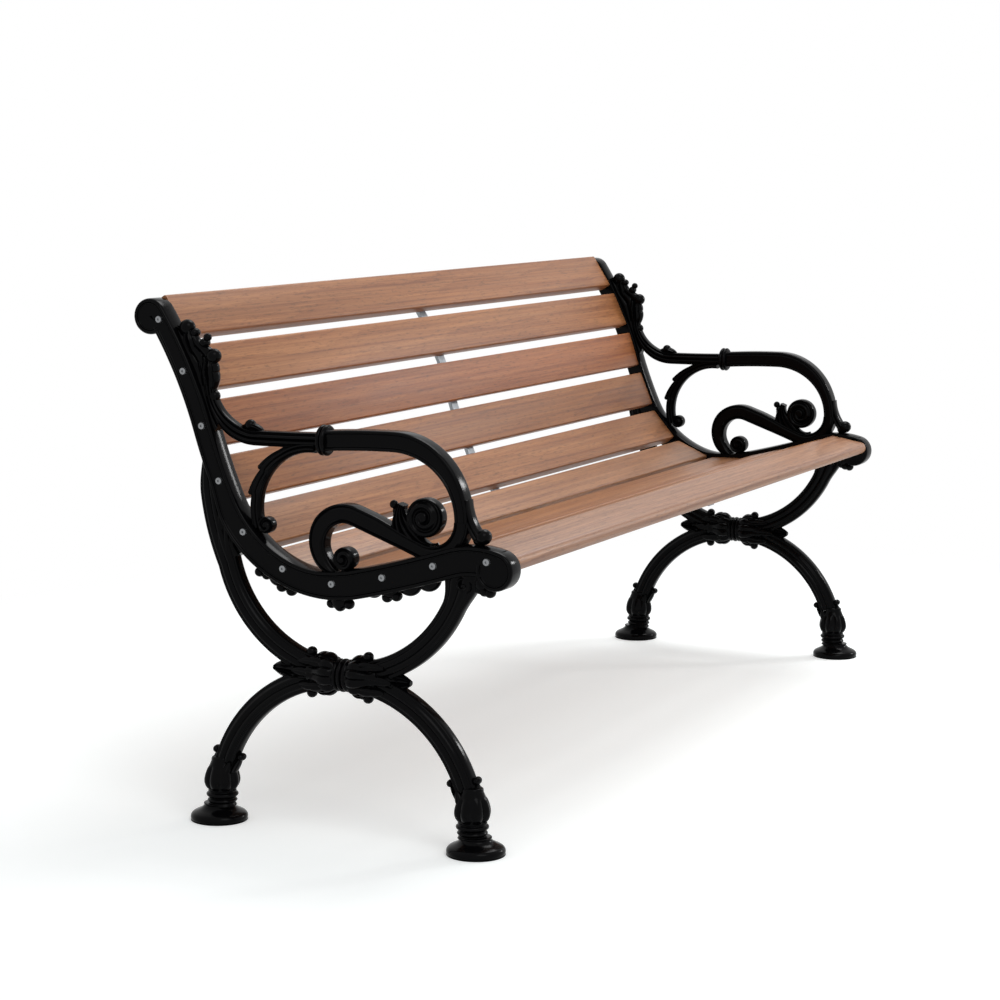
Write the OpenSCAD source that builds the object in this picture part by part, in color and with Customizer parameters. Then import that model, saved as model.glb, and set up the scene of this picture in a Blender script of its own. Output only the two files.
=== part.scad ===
// Garden bench: two cast scroll end frames, ten hardwood slats, a steel strap behind the slats.
// X runs along the bench, -Y is the front, Z is up, and z = 0 is the ground under the feet.
// The castings are drawn in a side view, where x is the bench's Y, counted from half way
// between the feet, and y is its Z.

/* [Bench] */
// Distance between the middles of the two end castings
frame_spacing = 1700; // [1200:10:2400]
// Distance between the middles of the front and rear feet
foot_span = 450; // [440:1:460]
// Height of the rail's middle at the lowest point of the seat
seat_low_z = 391; // [385:1:397]

/* [Rail] */
// Thickness of the casting along the bench
rail_t = 36; // [32:1:40]
// From the rail's midline to its upper edge, along the front half of the seat
seat_edge = 22.5; // [21:0.5:24]
// From the midline to the edge that faces the sitter's back
back_edge = 18.5; // [17.5:0.5:20]
// From the midline to the lower edge, under the seat
under_edge = 22.5; // [21:0.5:24]
// From the midline to the rear edge, up the back
rear_edge = 14.5; // [13.5:0.5:17]
// Width of the moulded border on each side of the sunk panel
rail_border = 7.5; // [7:0.25:8]
// Depth of the flat panel sunk in the outer face
panel_sink = 3; // [2:0.5:4]
// Radius of the seat where it turns up into the back
lumbar_r = 201; // [193:1:209]
// Angle of that curve, from the lowest point of the seat
lumbar_turn = 65.5; // [63:0.5:67]
// Radius of the middle of the back
back_r = 954; // [800:2:1200]
// Angle turned in the middle of the back
back_turn = 7; // [6:0.5:8]
// Radius of the top of the back, which rolls rearwards
roll_r = 700; // [620:5:800]
// Angle turned in the top of the back
roll_turn = 16; // [14.5:0.5:17]
// Radius of the disc that ends the rail at the top
knob_r = 28; // [26:1:31]
// Angle of the rise in front of the lowest point of the seat
rise_turn = 13; // [12:0.5:14]
// Radius of the long, nearly flat part of the seat
seat_r = 1890; // [1400:10:2600]
// Angle turned in that part
seat_turn = 5; // [4.5:0.1:5.5]
// Radius of the front edge, which rolls over
front_r = 125; // [118:1:135]
// Angle turned in the front edge
front_turn = 35; // [31:1:37]
// Radius of the round nose at the front
nose_r = 30; // [28:1:32]

/* [Legs] */
// Height at which the four limbs cross
cross_z = 252; // [249:0.5:255]
// Distance between the midlines of the arch and the cup where they cross
cross_gap = 8; // [6:0.5:12]
// Middle radius of the cup under the seat
cup_r = 208; // [205:0.5:211]
// Depth of a limb across its curve
limb_depth = 36; // [33:0.5:40]
// Thickness of a limb along the bench
limb_t = 28; // [26:0.5:32]
// Radius of the calyx that binds the crossing
calyx_r = 23; // [21:0.5:25]
// Radius of the rear limb's outer edge, where it flares into the rail
flare_r = 376; // [366:1:386]
// Radius of the round base of a foot
foot_r = 45; // [40:1:50]
// Height of the domed base
foot_h = 22; // [19:1:25]
// Largest radius of the vase above the foot
vase_r = 26.5; // [25:0.5:28]
// Height of the vase
vase_h = 54; // [50:1:58]
// From the middle of a foot, inwards to the middle of the arch's end above it
ankle_in = 16.4; // [14:0.2:18]

/* [Arm] */
// Depth of the arm in front of its collar
arm_depth = 25; // [22:1:28]
// Depth of the arm behind its collar
arm_rear_depth = 20; // [18:1:24]
// Thickness of the arm along the bench, in front of its collar
arm_t = 33; // [29:1:36]
// Thickness of the arm behind its collar
arm_rear_t = 24; // [20:1:28]
// Radius of the arm's long, nearly level top
arm_top_r = 1400; // [1200:20:1800]
// Radius of the slight sag behind the collar
arm_sag_r = 2900; // [2400:50:3600]
// Radius of the arm's front curve
arm_front_r = 114; // [112:1:116]
// Radius of the arm's foot, where its band turns under on the rail
arm_foot_r = 50; // [48:1:52]
// Radius of the brace under the arm
brace_r = 100; // [92:1:110]
// Width of the brace under the arm
brace_w = 20; // [17:1:22]
// Thickness of the brace along the bench
brace_t = 16; // [14:1:20]
// Radius of the large scroll at the arm's foot
scroll_r = 31; // [29:1:33]
// Radius of the hook scroll behind it
hook_r = 46; // [44:1:48]
// Depth of the band that makes both scrolls
band_depth = 24; // [21:1:26]
// Thickness of that band along the bench
band_t = 29; // [26:1:29]

/* [Slats] */
// Width of a slat
slat_w = 72; // [64:1:78]
// Thickness of a slat
slat_t = 23; // [20:0.5:26]
// From the end of the rail's front curve to the middle of the front slat
first_slat_in = 14.9; // [13.9:0.1:15.9]
// From the end of the rail's top curve to the middle of the top slat
top_slat_in = 12.8; // [11.8:0.1:13.8]
// Distance of the slats' middle from the rail's middle, towards the sitter
slat_lift = 3; // [1:0.5:3.5]
// Radius on the long edges of a slat
slat_edge_r = 3; // [1:0.5:6]

/* [Fasteners] */
// Diameter of the screws through the castings
screw_d = 6; // [5:0.5:7]
// Diameter of their heads
screw_head_d = 12; // [11:0.5:14]
// Height of their heads
screw_head_h = 2.6; // [2:0.2:3]
// Outer diameter of the threaded inserts in the slats
insert_d = 10; // [9:0.5:12]
// Length of an insert
insert_l = 25; // [20:1:35]
// Clearance round a shank in its bore
bore_gap = 0.3; // [0.2:0.05:0.5]
// Clearance round an insert in its hole, and in a thread
thread_gap = 0.1; // [0.05:0.05:0.2]
// Width of the strap behind the slats
strap_w = 25; // [20:1:35]
// Thickness of the strap
strap_t = 6; // [4:0.5:8]
// Diameter of the strap's screws
strap_screw_d = 5; // [4:0.5:6]

/* [Hidden] */
SEAT_SLATS = 5;
BACK_SLATS = 5;
SLATS = SEAT_SLATS + BACK_SLATS;

IRON = "#232323";
WOOD = "#b87a58";
STEEL = "#a9acae";
$fn = 64;
LONG_FN = 240;

// ---- Curves made of tangent arcs ----
// A run is a list of [radius, angle]: a positive radius turns left, a negative one right.

function left(h) = [-sin(h), cos(h)];

function ahead(h) = [cos(h), sin(h)];

// A place is [point, heading]. This is the point a distance out to its left.
function beside(q, out) = q[0] + out * left(q[1]);

// Each arc of a run as [centre, radius, heading at its start, angle]
function arcs(run, p, h, i = 0) = i == len(run) ? [] :
    let (c = p + run[i][0] * left(h), h2 = h + sign(run[i][0]) * run[i][1])
    concat([[c, run[i][0], h, run[i][1]]], arcs(run, c - run[i][0] * left(h2), h2, i + 1));

function arc_length(a) = abs(a[1]) * a[3] * PI / 180;

// Point and heading on an arc, a distance s from its start
function on_arc(a, s) = let (h = a[2] + s / a[1] * 180 / PI) [a[0] - a[1] * left(h), h];

// Point and heading on a list of arcs, a distance s from its start
function walk(list, s, i = 0) = i == len(list) - 1 || s <= arc_length(list[i])
    ? on_arc(list[i], s) : walk(list, s - arc_length(list[i]), i + 1);

function end_of(list) = let (a = list[len(list) - 1]) on_arc(a, arc_length(a));

// Length of a list of arcs
function run_length(list, i = 0) = i == len(list) ? 0 : arc_length(list[i]) + run_length(list, i + 1);

// The one arc of radius r that turns left from p to q
function arc_between(p, q, r) =
    let (d = q - p, turn = 2 * asin(norm(d) / 2 / r))
    arcs([[r, turn]], p, atan2(d.y, d.x) - turn / 2);

// The arc that sets out from place e along its heading and turns left to q
function arc_to(e, q) =
    let (d = q - e[0])
    arcs([[d * d / (2 * d * left(e[1])), 2 * (atan2(d.y, d.x) - e[1])]], e[0], e[1]);

// ---- Driving lines of the casting ----

// The rail's midline runs both ways from the lowest point of the seat. Its front run is
// worked out facing rearwards and then mirrored, so that left is always the sitter's side.
LOW = [18, seat_low_z];
REAR = arcs([[lumbar_r, lumbar_turn], [back_r, back_turn], [-roll_r, roll_turn]], LOW, 0);
FRONT = arcs([[lumbar_r, rise_turn], [seat_r, seat_turn], [-front_r, front_turn]],
    [-LOW.x, LOW.y], 0);
KNOB_C = beside(end_of(REAR), back_edge - knob_r);
NOSE_C = beside(end_of(FRONT), seat_edge - nose_r);

// Place at a distance s along the rail, where s > 0 is towards the back
function on_rail(s) = s >= 0 ? walk(REAR, s)
    : let (q = walk(FRONT, -s)) [[-q[0].x, q[0].y], -q[1]];

// The bench's y = 0 lies half way between the front of the nose and the back of the knob.
MIDDLE_Y = (KNOB_C.x + knob_r - NOSE_C.x - nose_r) / 2;

// The slats are spread evenly along the rail.
FIRST_SLAT = first_slat_in - run_length(FRONT);
SLAT_PITCH = (run_length(REAR) - top_slat_in - FIRST_SLAT) / (SLATS - 1);

// Middle and heading of slat i, counted from the front
function slat_at(i) = let (q = on_rail(FIRST_SLAT + i * SLAT_PITCH)) [beside(q, slat_lift), q[1]];

// The arch is the ring through its crown, under the crossing, and through both its ends, which
// stand on the vases of the feet.
RINGS_H = 26;
VASE_TOP = foot_h + RINGS_H + vase_h;
ARCH_END = [foot_span / 2 - ankle_in, VASE_TOP];
ARCH_RISE = cross_z - cross_gap / 2 - VASE_TOP;
ARCH_R = (ARCH_END.x ^ 2 + ARCH_RISE ^ 2) / (2 * ARCH_RISE);
ARCH_C = [0, VASE_TOP + ARCH_RISE - ARCH_R];
ARCH_FOOT = asin((VASE_TOP - ARCH_C.y) / ARCH_R);
ARCH = [[ARCH_C, ARCH_R, 90 + ARCH_FOOT, 180 - 2 * ARCH_FOOT]];

// The cup is a ring back to back with the arch. It ends under the front of the rail and
// behind the seat.
CUP_C = [0, cross_z + cross_gap / 2 + cup_r];
function cup_angle(p) = atan2(p.y - CUP_C.y, p.x - CUP_C.x);
CUP_FROM = cup_angle(beside(on_rail(-223.6), -under_edge));
CUP_TO = cup_angle(on_rail(222)[0]);
CUP = [[CUP_C, cup_r, CUP_FROM + 90, CUP_TO - CUP_FROM]];

// The rear limb's outer edge leaves the cup a little before its end and runs up into the rail.
FLARE_LAP = 92;
FLARE = arc_between(walk(CUP, run_length(CUP) - FLARE_LAP)[0], on_rail(318)[0], flare_r);

// The arm's foot is sunk in the top of the rail, and the arm is built up from there: round its
// foot, up the front curve, and level from there to the rear.
FOOT_SINK = 13.6;
ARM_FOOT = beside(on_rail(-182.6), seat_edge + band_depth / 2 - FOOT_SINK);
ARM_LEVEL = ARM_FOOT + [arm_front_r - arm_foot_r, arm_front_r + arm_foot_r];
ARM_FRONT = arcs([[arm_front_r, 90]], ARM_LEVEL, 180);
ARM_TOP = arcs([[-arm_top_r, 4.9]], ARM_LEVEL, 0);
// Behind the collar the arm sags a little, then curls up to the crest on the back.
SAG = arcs([[arm_sag_r, 2.4]], end_of(ARM_TOP)[0], -2.4);
ARM_REAR = concat(SAG, arc_to(end_of(SAG), beside(on_rail(392), back_edge + 18)));
// Below the front curve one band turns under, runs back along the seat and hooks over.
BAND_RISE_R = 4000;
BAND = arcs([[arm_foot_r, 111], [-BAND_RISE_R, 1.75], [-hook_r, 172]], end_of(ARM_FRONT)[0], -90);
HOOK_BALL_R = 18;
HOOK_BALL = beside(end_of(BAND), -HOOK_BALL_R - 6.4) + 3.9 * ahead(end_of(BAND)[1]);
SCROLL_C = BAND[0][0] + [12.5, 3];
// The brace rises from the back of the seat and runs in along the underside of the arm.
BRACE = arc_between(beside(on_rail(164), back_edge + brace_w / 4),
    beside(walk(ARM_REAR, 32), -arm_rear_depth / 2), brace_r);
BRACE_FOOT = walk(BRACE, 0);

// ---- Shared shapes ----

// From the side view to the bench, with the view's z along X
module side_view() {
    translate([0, -MIDDLE_Y, 0]) rotate([90, 0, 90]) children();
}

// Sweeps a section along arcs. The section's +x is the left side, and its y is the bench's X.
module sweep(list) {
    for (a = list) {
        turn_left = a[1] > 0;
        translate(a[0])
            rotate_extrude(angle = a[3], start = turn_left ? a[2] - 90 : a[2] + 90 - a[3],
                $fn = LONG_FN)
            translate([abs(a[1]), 0])
            mirror([turn_left ? 1 : 0, 0])
            children();
    }
}

// A box with its corners cut at 45 degrees
module bevelled_box(w, h, c) {
    polygon([[w / 2, c - h / 2], [w / 2, h / 2 - c], [w / 2 - c, h / 2], [c - w / 2, h / 2],
        [-w / 2, h / 2 - c], [-w / 2, c - h / 2], [c - w / 2, -h / 2], [w / 2 - c, -h / 2]]);
}

module rounded_box(w, h, r) {
    square([w - 2 * r, h], center = true);
    square([w, h - 2 * r], center = true);
    for (x = [-1, 1], y = [-1, 1]) {
        translate([x * (w / 2 - r), y * (h / 2 - r)]) circle(r, $fn = 24);
    }
}

// A berry: a ball with flat bands, turned about the bench's X
module ball(p, r) {
    t = 0.45 * r;
    half = [[r, t], [0.8 * r, 0.72 * r], [t, r], [0, r]];
    translate([p.x, p.y, 0]) rotate_extrude()
        polygon(concat(half, [for (i = [len(half) - 1:-1:0]) [half[i].x, -half[i].y]]));
}

// A disc or boss across the casting's thickness
module boss(p, r, w) {
    translate([p.x, p.y, -w / 2]) cylinder(w, r, r);
}

// ---- Pieces of the casting, in the side view ----

// The rail's section: back and front are its distances from the midline, front on the left.
module rail_section(back, front) {
    translate([(front - back) / 2, 0]) bevelled_box(front + back, rail_t, 3);
}

module panel_section(back, front) {
    translate([rail_border - back, -rail_t / 2 - 1])
        square([back + front - 2 * rail_border, panel_sink + 1]);
}

REAR_LOW = [REAR[0]];
REAR_HIGH = [REAR[1], REAR[2]];

module rail_body() {
    sweep(REAR_LOW) rail_section(under_edge, back_edge);
    sweep(REAR_HIGH) rail_section(rear_edge, back_edge);
    mirror([1, 0, 0]) sweep(FRONT) rail_section(under_edge, seat_edge);
    boss(KNOB_C, knob_r, rail_t);
    boss([-NOSE_C.x, NOSE_C.y], nose_r, rail_t);
}

module rail_panel() {
    sweep(REAR_LOW) panel_section(under_edge, back_edge);
    sweep(REAR_HIGH) panel_section(rear_edge, back_edge);
    mirror([1, 0, 0]) sweep(FRONT) panel_section(under_edge, seat_edge);
    translate([0, 0, (panel_sink - 1 - rail_t) / 2]) {
        boss(KNOB_C, knob_r - rail_border, panel_sink + 1);
        boss([-NOSE_C.x, NOSE_C.y], nose_r - rail_border, panel_sink + 1);
    }
}

// A fluted limb: three ridges down each side
module limb_section() {
    w = limb_depth / 2;
    t = limb_t / 2;
    half = [[w, 0], [w, t - 6], [w - 4, t - 2], [w - 7, t - 4], [5, t - 2.5], [3, t], [-3, t],
        [-5, t - 2.5], [7 - w, t - 4], [4 - w, t - 2], [-w, t - 6], [-w, 0]];
    polygon(concat(half, [for (i = [len(half) - 2:-1:1]) [half[i].x, -half[i].y]]));
}

module limbs() {
    sweep(ARCH) limb_section();
    sweep(CUP) limb_section();
    sweep(FLARE) limb_section();
    web();
}

// The web that fills the space between the rail and the rear limb
WEB_T = 18;
WEB_FROM = 150;
WEB_STEPS = 14;

module web() {
    translate([0, 0, -WEB_T / 2]) linear_extrude(WEB_T)
        polygon(concat([for (i = [0:WEB_STEPS]) beside(on_rail(WEB_FROM + 12 * i), -5)],
            [for (i = [WEB_STEPS:-1:0]) walk(FLARE, run_length(FLARE) * i / WEB_STEPS)[0]]));
}

// ---- The arm and its scrolls ----

module arm_section() {
    bevelled_box(arm_depth, arm_t, 5);
}

module band_section() {
    bevelled_box(band_depth, band_t, 4);
}

module arm() {
    sweep(ARM_FRONT) arm_section();
    sweep(ARM_TOP) arm_section();
    sweep(ARM_REAR) bevelled_box(arm_rear_depth, arm_rear_t, 5);
    sweep(BAND) band_section();
    sweep(BRACE) bevelled_box(brace_w, brace_t, 4);
    collar();
}

// The moulded ring round the arm, turned about the bench's Y
module collar() {
    at = end_of(ARM_TOP)[0];
    translate(at - [4, 0]) rotate([0, 90, 0]) rotate_extrude() {
        square([arm_depth / 2 + 4, 10]);
        translate([arm_depth / 2 + 4, 0]) circle(4, $fn = 24);
        translate([arm_depth / 2 + 4, 8]) circle(4, $fn = 24);
    }
}

// A scroll seen from the side: a bevelled disc with a ring and a boss on each face
module scroll(p, r, w) {
    t = w / 2;
    half = [[r, 0], [r, t - r * 0.16], [r * 0.84, t], [r * 0.7, t], [r * 0.6, t - 3],
        [r * 0.35, t - 3], [r * 0.3, t + 1], [0, t + 1]];
    translate([p.x, p.y, 0]) rotate_extrude()
        polygon(concat(half, [for (i = [len(half) - 1:-1:1]) [half[i].x, -half[i].y]]));
}

module arm_ornament() {
    scroll(SCROLL_C, scroll_r, arm_t + 1);
    scroll(HOOK_BALL, HOOK_BALL_R, band_t + 3);
    // leaf and its berries behind the large scroll
    boss(SCROLL_C + [38, -18], 20, arm_t - 10);
    ball(SCROLL_C + [45, 3], 9);
    ball(SCROLL_C + [58, 12], 8);
    // leaf in front of the arm's foot
    ball(end_of(ARM_FRONT)[0] + [-12, -5], 9);
    ball(end_of(ARM_FRONT)[0] + [-27, -18], 13);
    // bead on top of the arm, and the leaves and curl along the brace
    ball(beside(walk(ARM_REAR, 137), arm_rear_depth / 2 + 8), 9);
    ball(beside(walk(BRACE, 92), -brace_w / 2 - 3.5), 8);
    ball(beside(walk(BRACE, 53), -brace_w / 2 + 2.5), 8);
    scroll(beside(BRACE_FOOT, brace_w / 2 + 5), 15, brace_t + 6);
}

// ---- Ornament on the rail and legs ----

// The crest in front of the back, from the top down: each lobe's distance along the rail,
// distance out from its edge, and radius
CREST = [[497.7, 17.8, 12], [482.2, 21, 12], [465.1, 25, 15], [442.6, 28.8, 17],
    [419.5, 22, 13], [398, 17.5, 13]];
CREST_BERRY = [468.6, 39.5, 6];
CREST_T = 22;

function crest_point(b) = beside(on_rail(b[0]), back_edge + b[1]);

// A flat lobe with a bevelled rim
module lobe(p, r, w) {
    translate([p.x, p.y, 0]) rotate_extrude()
        polygon([[0, -w / 2], [r - 4, -w / 2], [r, 4 - w / 2], [r, w / 2 - 4], [r - 4, w / 2],
            [0, w / 2]]);
}

module crest() {
    for (b = concat(CREST, [CREST_BERRY])) {
        lobe(crest_point(b), b[2], min(CREST_T, 1.8 * b[2]));
    }
    // the leaf that joins the lobes to the rail
    translate([0, 0, -CREST_T / 4]) linear_extrude(CREST_T / 2)
        polygon([for (b = concat(CREST, [[371, 9.5], [378, -4], [430, -4], [503, -1]])) crest_point(b)]);
}

// Berries and lobes under the seat rail: distance along it, distance out from its lower edge,
// and radius
DROPS = [[119.6, 9.8, 8], [108.6, 6.1, 8], [81.1, 8.1, 9], [65.6, 6.7, 9], [2.5, 7.5, 8.5],
    [-10, 11.8, 9], [-23.6, 9.1, 8.5], [-87.2, 6.4, 9.5], [-103.3, 7.5, 9.5], [-125.8, 3.3, 10],
    [-145.9, 5.9, 12], [-169.9, 0.6, 10], [-245.7, 15.8, 10], [-265.8, 21.2, 9],
    [-285.4, 22.7, 9], [-300, 16, 8]];

function drop_point(b) = beside(on_rail(b[0]), -under_edge - b[1]);

module rail_ornament() {
    crest();
    for (b = DROPS) {
        ball(drop_point(b), b[2]);
    }
    // curl on top of the front limb
    boss(drop_point([-226.1, 13.3]), 14, limb_t + 4);
}

// The calyx that binds the crossing, turned about the bench's Y, with a leaf tip at each end
CALYX_Y = 4;

module calyx() {
    waist = calyx_r - 4;
    for (side = [-1, 1]) {
        translate([CALYX_Y, cross_z, 0]) rotate([0, side * 90, 0]) rotate_extrude() {
            square([calyx_r - 1, 11]);
            translate([calyx_r - 2, 3]) circle(2.5, $fn = 24);
            translate([calyx_r - 2, 9]) circle(2.5, $fn = 24);
            square([waist, 44]);
            translate([waist - 6, 30]) circle(12, $fn = 48);
            polygon([[0, 30], [waist, 44], [12, 84], [3, 116], [0, 116]]);
        }
    }
    for (x = [-1, 1]) {
        ball([CALYX_Y + x * 50, cross_z + 34], 7.5);
        ball([CALYX_Y + x * 50, cross_z - 32], 7.5);
    }
    for (z = [-1, 1]) {
        ball([CALYX_Y, cross_z + z * calyx_r], 7);
    }
}

// A turned foot: domed base, ringed neck, and a vase that stands a little further in
FOOT_IN = 6;

module foot_base() {
    neck = vase_r - 5;
    rotate_extrude() {
        polygon([[0, 0], [foot_r - 1, 0], [foot_r, 1], [foot_r, 5], [foot_r - 3, 10],
            [foot_r - 9, 15], [neck + 4, foot_h - 1], [neck, foot_h + 3], [0, foot_h + 3]]);
    }
}

module foot_vase() {
    neck = vase_r - 5;
    low = foot_h + RINGS_H;
    rotate_extrude() {
        translate([0, foot_h]) square([neck - 1, low + 1 - foot_h]);
        translate([neck - 1, foot_h + 8]) circle(2.5, $fn = 24);
        translate([neck - 1, foot_h + 19]) circle(4, $fn = 24);
        polygon([[0, low], [neck, low], [vase_r, low + 0.22 * vase_h], [vase_r, low + 0.41 * vase_h],
            [vase_r - 3, low + 0.63 * vase_h], [vase_r - 8, VASE_TOP - 4], [vase_r - 9, VASE_TOP],
            [0, VASE_TOP]]);
    }
}

module feet() {
    for (side = [-1, 1]) {
        translate([0, side * foot_span / 2 - MIDDLE_Y, 0]) foot_base();
        translate([0, side * (foot_span / 2 - FOOT_IN) - MIDDLE_Y, 0]) foot_vase();
        // berries at the ankle
        for (out = [-1, 1]) {
            side_view() ball([side * (ARCH_END.x + out * 24), ARCH_END.y + 8 + out * 2], 8);
        }
    }
}

// ---- The end casting ----

// Length of an end screw's shank: through the rail's web and most of the insert
SCREW_L = rail_t - panel_sink + insert_l - 3;

// Puts a round thing on each slat's middle, in the side view
module at_slats() {
    for (i = [0:SLATS - 1]) {
        p = slat_at(i)[0];
        translate([p.x, p.y, 0]) children();
    }
}

// The casting with its middle at x = 0 and its outer face towards -X
module end_frame() {
    color(IRON) {
        side_view() {
            difference() {
                rail_body();
                rail_panel();
                at_slats() translate([0, 0, -rail_t]) cylinder(2 * rail_t, d = screw_d + 2 * bore_gap);
            }
            limbs();
            arm();
            arm_ornament();
            rail_ornament();
            calyx();
        }
        feet();
    }
}

module end_frame_left() {
    translate([-frame_spacing / 2, 0, 0]) end_frame();
}

module end_frame_right() {
    mirror([1, 0, 0]) end_frame_left();
}

// ---- Slats, strap and fasteners ----

SLAT_L = frame_spacing - rail_t;
HOLE_L = insert_l + 5;

// A slat's outline, with its face on the left; the front one has a full round nose.
module slat_outline(i) {
    rounded_box(slat_w, slat_t, slat_edge_r);
    if (i == 0) {
        translate([-slat_w / 2 + slat_t / 2 - slat_edge_r, 0]) circle(slat_t / 2);
    }
}

// Puts children in the frame of slat i, where x runs up the rail and y towards the sitter
module on_slat(i) {
    q = slat_at(i);
    translate(q[0]) rotate(q[1]) children();
}

module slat(i) {
    color(WOOD) side_view() on_slat(i) difference() {
        translate([0, 0, -SLAT_L / 2]) linear_extrude(SLAT_L) slat_outline(i);
        for (end = [-1, 1]) {
            translate([0, 0, end * (SLAT_L / 2 - HOLE_L / 2)])
                cylinder(HOLE_L + 0.01, d = insert_d + 2 * thread_gap, center = true);
        }
        rotate([90, 0, 0]) translate([0, 0, slat_t / 2 - STRAP_SCREW_BITE])
            cylinder(STRAP_SCREW_BITE + 1, d = strap_screw_d + 2 * thread_gap);
    }
}

// How far the strap's screws go into a slat
STRAP_SCREW_BITE = 15;

// A point where the line through p along h meets the line through q along k
function meet(p, h, q, k) =
    let (d = q - p, t = (d.x * sin(k) - d.y * cos(k)) / sin(k - h))
    p + t * ahead(h);

// Corners of a line that follows the slats' rear faces at a distance d behind their middles
function behind(d) = [for (i = [0:SLATS - 2])
    let (a = slat_at(i), b = slat_at(i + 1))
    meet(beside(a, -d), a[1], beside(b, -d), b[1])];

// A slat's point, x along it and y towards the sitter
function slat_point(i, x, y) = let (q = slat_at(i)) beside(q, y) + x * ahead(q[1]);

STRAP_END = slat_w / 2 - 12;

// A flat strap, bent at each gap so that it lies flat against every slat
module centre_strap() {
    near = slat_t / 2;
    far = slat_t / 2 + strap_t;
    color(STEEL) side_view() difference() {
        translate([0, 0, -strap_w / 2]) linear_extrude(strap_w)
            polygon(concat([slat_point(0, -STRAP_END, -near)], behind(near),
                [slat_point(SLATS - 1, STRAP_END, -near), slat_point(SLATS - 1, STRAP_END, -far)],
                [for (i = [SLATS - 2:-1:0]) behind(far)[i]], [slat_point(0, -STRAP_END, -far)]));
        for (i = [0:SLATS - 1]) {
            on_slat(i) rotate([90, 0, 0]) translate([0, 0, near - 1])
                cylinder(strap_t + 2, d = strap_screw_d + 2 * bore_gap);
        }
    }
}

// A round-headed screw along +Z, with its head's seat at z = 0 and its shank above
module screw(d, head_d, head_h, l, socket) {
    difference() {
        union() {
            cylinder(l, d = d);
            translate([0, 0, -head_h]) cylinder(head_h, head_d / 2 - 1, head_d / 2);
        }
        translate([0, 0, -head_h - 0.01]) cylinder(head_h * 0.7, d = socket, $fn = 6);
    }
}

module strap_screws() {
    color(STEEL) side_view() for (i = [0:SLATS - 1]) {
        on_slat(i) translate([0, -slat_t / 2 - strap_t, 0]) rotate([-90, 0, 0])
            screw(strap_screw_d, 2 * strap_screw_d, 2.4, strap_t + STRAP_SCREW_BITE - 1, 3);
    }
}

module end_screws_left() {
    color(STEEL) translate([-frame_spacing / 2 - rail_t / 2 + panel_sink, 0, 0])
        side_view() at_slats()
        screw(screw_d, screw_head_d, screw_head_h, SCREW_L, 4);
}

module slat_inserts_left() {
    color(STEEL) translate([-SLAT_L / 2, 0, 0]) side_view() at_slats() difference() {
        cylinder(insert_l, d = insert_d);
        translate([0, 0, -1]) cylinder(insert_l + 2, d = screw_d + 2 * thread_gap);
    }
}

module end_screws_right() {
    mirror([1, 0, 0]) end_screws_left();
}

module slat_inserts_right() {
    mirror([1, 0, 0]) slat_inserts_left();
}

end_frame_left();
end_frame_right();
slat(0);  // seat_slat_1
slat(1);  // seat_slat_2
slat(2);  // seat_slat_3
slat(3);  // seat_slat_4
slat(4);  // seat_slat_5
slat(5);  // back_slat_1
slat(6);  // back_slat_2
slat(7);  // back_slat_3
slat(8);  // back_slat_4
slat(9);  // back_slat_5
centre_strap();
strap_screws();
end_screws_left();
end_screws_right();
slat_inserts_left();
slat_inserts_right();
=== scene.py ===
"""A garden bench: two gloss black cast end frames, ten oiled hardwood slats and a steel strap."""

import bmesh
import bpy
import numpy as np
from mathutils import Matrix


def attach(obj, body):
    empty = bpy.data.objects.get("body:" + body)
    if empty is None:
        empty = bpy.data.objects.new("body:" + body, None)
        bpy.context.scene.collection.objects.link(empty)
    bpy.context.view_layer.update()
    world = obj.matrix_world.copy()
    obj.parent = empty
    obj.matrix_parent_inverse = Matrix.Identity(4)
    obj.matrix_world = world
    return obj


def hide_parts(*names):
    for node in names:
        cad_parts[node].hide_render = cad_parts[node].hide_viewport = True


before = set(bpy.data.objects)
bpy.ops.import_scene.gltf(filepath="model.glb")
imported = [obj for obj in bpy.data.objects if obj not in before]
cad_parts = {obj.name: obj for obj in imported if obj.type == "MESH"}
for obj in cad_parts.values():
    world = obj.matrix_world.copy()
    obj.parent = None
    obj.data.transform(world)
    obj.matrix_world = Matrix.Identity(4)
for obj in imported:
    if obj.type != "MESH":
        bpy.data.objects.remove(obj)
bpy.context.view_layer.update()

# ---- Studio: camera, paper floor, soft boxes ----
# A long lens looks at the left end from the front and from a little above the bench. The bench
# stands on white paper that fades into a white surround.
LENS_MM = 92.42
AZIMUTH, ELEVATION, ROLL = np.radians([-64.3906, 7.8779, 0.36344])
CAMERA_AT = (-4.20973, -1.90841, 1.05422)
PAPER_REACH = 14.0


def look_axes(azimuth, elevation, roll):
    """Camera axes as rows. Backwards comes from the two angles, sideways is level, then both
    are turned by the roll."""
    back = np.array([np.sin(azimuth) * np.cos(elevation), -np.cos(azimuth) * np.cos(elevation),
                     np.sin(elevation)])
    side = np.cross([0, 0, 1], back)
    side /= np.linalg.norm(side)
    up = np.cross(back, side)
    return np.array([np.cos(roll) * side + np.sin(roll) * up,
                     np.cos(roll) * up - np.sin(roll) * side, back])


def add(nodes, kind, inputs=None, **settings):
    """Add one shader node with its settings. Each of its inputs, by name or number, takes a
    constant or is joined to a socket, and a node stands for its first socket."""
    node = nodes.new("ShaderNode" + kind)
    for key, value in settings.items():
        setattr(node, key, value)
    for key, value in (inputs or {}).items():
        if isinstance(value, bpy.types.Node):
            value = value.outputs[0]
        if isinstance(value, bpy.types.NodeSocket):
            nodes.id_data.links.new(value, node.inputs[key])
        else:
            node.inputs[key].default_value = value
    return node


def colour(hex_value):
    """Linear RGBA of an sRGB hex value such as "c08a66"."""
    srgb = np.array([int(hex_value[i:i + 2], 16) / 255 for i in (0, 2, 4)])
    linear = np.where(srgb <= 0.04045, srgb / 12.92, ((srgb + 0.055) / 1.055) ** 2.4)
    return (*linear, 1.0)


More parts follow.
